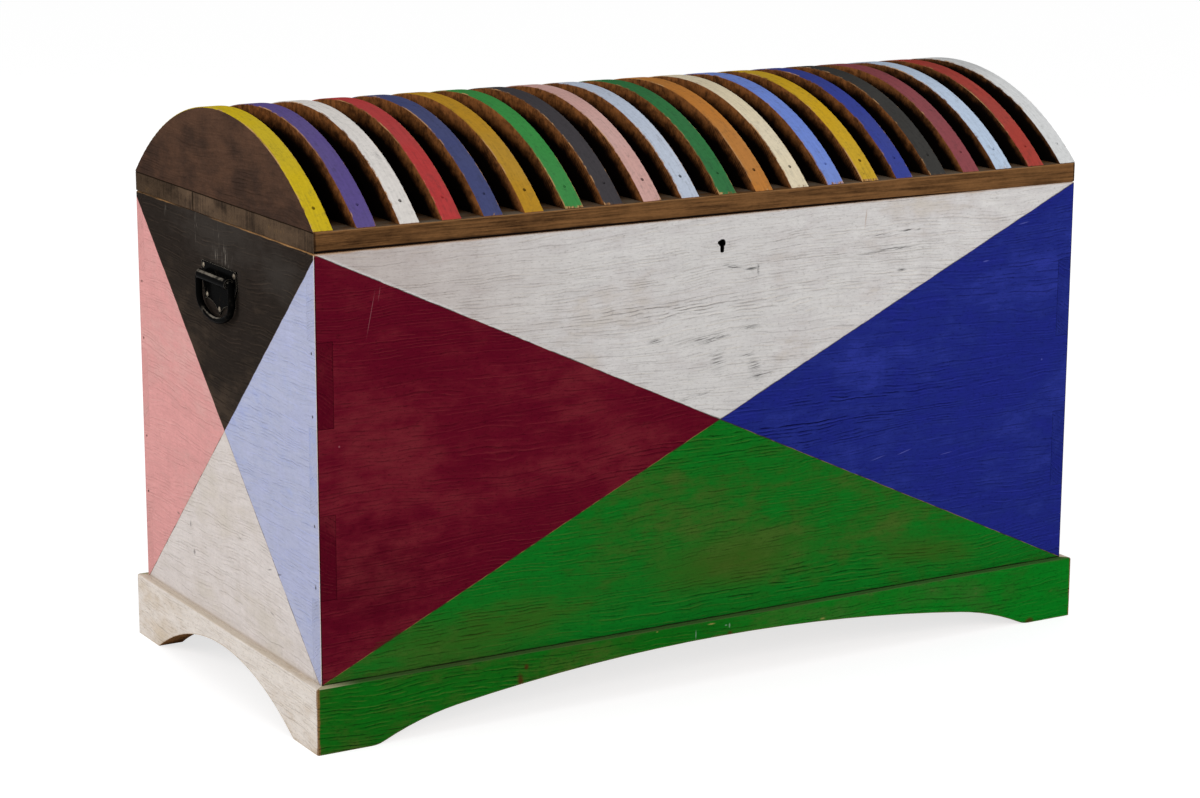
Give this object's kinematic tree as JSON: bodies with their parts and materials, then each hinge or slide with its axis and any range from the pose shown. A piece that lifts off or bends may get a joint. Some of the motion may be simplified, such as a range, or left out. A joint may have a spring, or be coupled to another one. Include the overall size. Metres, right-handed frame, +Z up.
{
  "type": "sea chest",
  "caption": "Painted sea chest: comb-jointed board case on an arched plinth, hinged flat lid carrying a row of arched ribs, end handles and a front lock.",
  "frame": {"origin": "on the floor, under the middle of the chest", "axes": "+X along the length to the viewer's right, +Y to the back, +Z up; the front with the keyhole faces -Y"},
  "size_m": [1.129, 0.556, 0.7284],
  "materials": {
    "long_board_paint": "worn oil paint in four colours over wood",
    "end_board_paint": "worn oil paint in four colours over wood",
    "green_plinth_paint": "worn green oil paint over wood",
    "white_plinth_paint": "worn off-white oil paint over wood",
    "stained_wood": "dark stained softwood, dusty",
    "bare_wood": "bare aged softwood",
    "black_japan": "glossy black japanned steel",
    "dark_iron": "dull dark iron",
    "lock_steel": "dull steel",
    "rib_lemon": "stained wood with a painted curved edge",
    "rib_violet": "stained wood with a painted curved edge",
    "rib_white": "stained wood with a painted curved edge",
    "rib_crimson": "stained wood with a painted curved edge",
    "rib_royal_blue": "stained wood with a painted curved edge",
    "rib_ochre": "stained wood with a painted curved edge",
    "rib_leaf_green": "stained wood with a painted curved edge",
    "rib_charcoal": "stained wood with a painted curved edge",
    "rib_pale_pink": "stained wood with a painted curved edge",
    "rib_pale_blue": "stained wood with a painted curved edge",
    "rib_emerald": "stained wood with a painted curved edge",
    "rib_orange": "stained wood with a painted curved edge",
    "rib_cream": "stained wood with a painted curved edge",
    "rib_periwinkle": "stained wood with a painted curved edge",
    "rib_gold": "stained wood with a painted curved edge",
    "rib_ultramarine": "stained wood with a painted curved edge",
    "rib_maroon": "stained wood with a painted curved edge"
  },
  "bodies": {
    "chest_case": {"back_board": "long_board_paint", "back_ledger": "bare_wood", "back_plinth": "green_plinth_paint", "bottom_board_1": "bare_wood", "bottom_board_2": "bare_wood", "bottom_board_3": "bare_wood", "bottom_board_4": "bare_wood", "bottom_board_5": "bare_wood", "case_screws": "dark_iron", "corner_nails": "dark_iron", "floor_nails": "dark_iron", "front_board": "long_board_paint", "front_ledger": "bare_wood", "front_plinth": "green_plinth_paint", "handle_screws": "black_japan", "left_end_board": "end_board_paint", "left_handle_plate": "black_japan", "left_hinge_case_leaf": "dark_iron", "left_hinge_pin": "dark_iron", "left_plinth": "white_plinth_paint", "lock_case": "lock_steel", "lock_key_pin": "lock_steel", "lock_spring": "lock_steel", "plinth_corner_blocks": "bare_wood", "right_end_board": "end_board_paint", "right_handle_plate": "black_japan", "right_hinge_case_leaf": "dark_iron", "right_hinge_pin": "dark_iron", "right_plinth": "white_plinth_paint"},
    "lid": {"left_hinge_lid_leaf": "dark_iron", "lid_back_board": "stained_wood", "lid_front_board": "stained_wood", "lid_screws": "dark_iron", "lock_link_plate": "lock_steel", "rib_01": "rib_lemon", "rib_02": "rib_violet", "rib_03": "rib_white", "rib_04": "rib_crimson", "rib_05": "rib_royal_blue", "rib_06": "rib_ochre", "rib_07": "rib_leaf_green", "rib_08": "rib_charcoal", "rib_09": "rib_pale_pink", "rib_10": "rib_pale_blue", "rib_11": "rib_emerald", "rib_12": "rib_orange", "rib_13": "rib_cream", "rib_14": "rib_periwinkle", "rib_15": "rib_gold", "rib_16": "rib_ultramarine", "rib_17": "rib_charcoal", "rib_18": "rib_maroon", "rib_19": "rib_pale_blue", "rib_20": "rib_crimson", "rib_21": "rib_white", "rib_nails": "dark_iron", "right_hinge_lid_leaf": "dark_iron"},
    "left_bail": {"left_handle_bail": "black_japan"},
    "right_bail": {"right_handle_bail": "black_japan"},
    "lock_bolt_slide_bar": {"lock_bolt": "lock_steel"}
  },
  "joints": [
    {"name": "lid_hinge", "type": "hinge", "parent": "chest_case", "child": "lid", "pos_m": [0, 0.2718, 0.5932], "axis": [-1, 0, 0], "range_deg": [0, 100]},
    {"name": "left_bail_hinge", "type": "hinge", "parent": "chest_case", "child": "left_bail", "pos_m": [-0.558, 0, 0.522], "axis": [0, 1, 0], "range_deg": [0, 165]},
    {"name": "right_bail_hinge", "type": "hinge", "parent": "chest_case", "child": "right_bail", "pos_m": [0.558, 0, 0.522], "axis": [0, -1, 0], "range_deg": [0, 165]},
    {"name": "bolt_slide", "type": "slide", "parent": "chest_case", "child": "lock_bolt_slide_bar", "axis": [1, 0, 0], "range_m": [0, 0.008]}
  ]
}
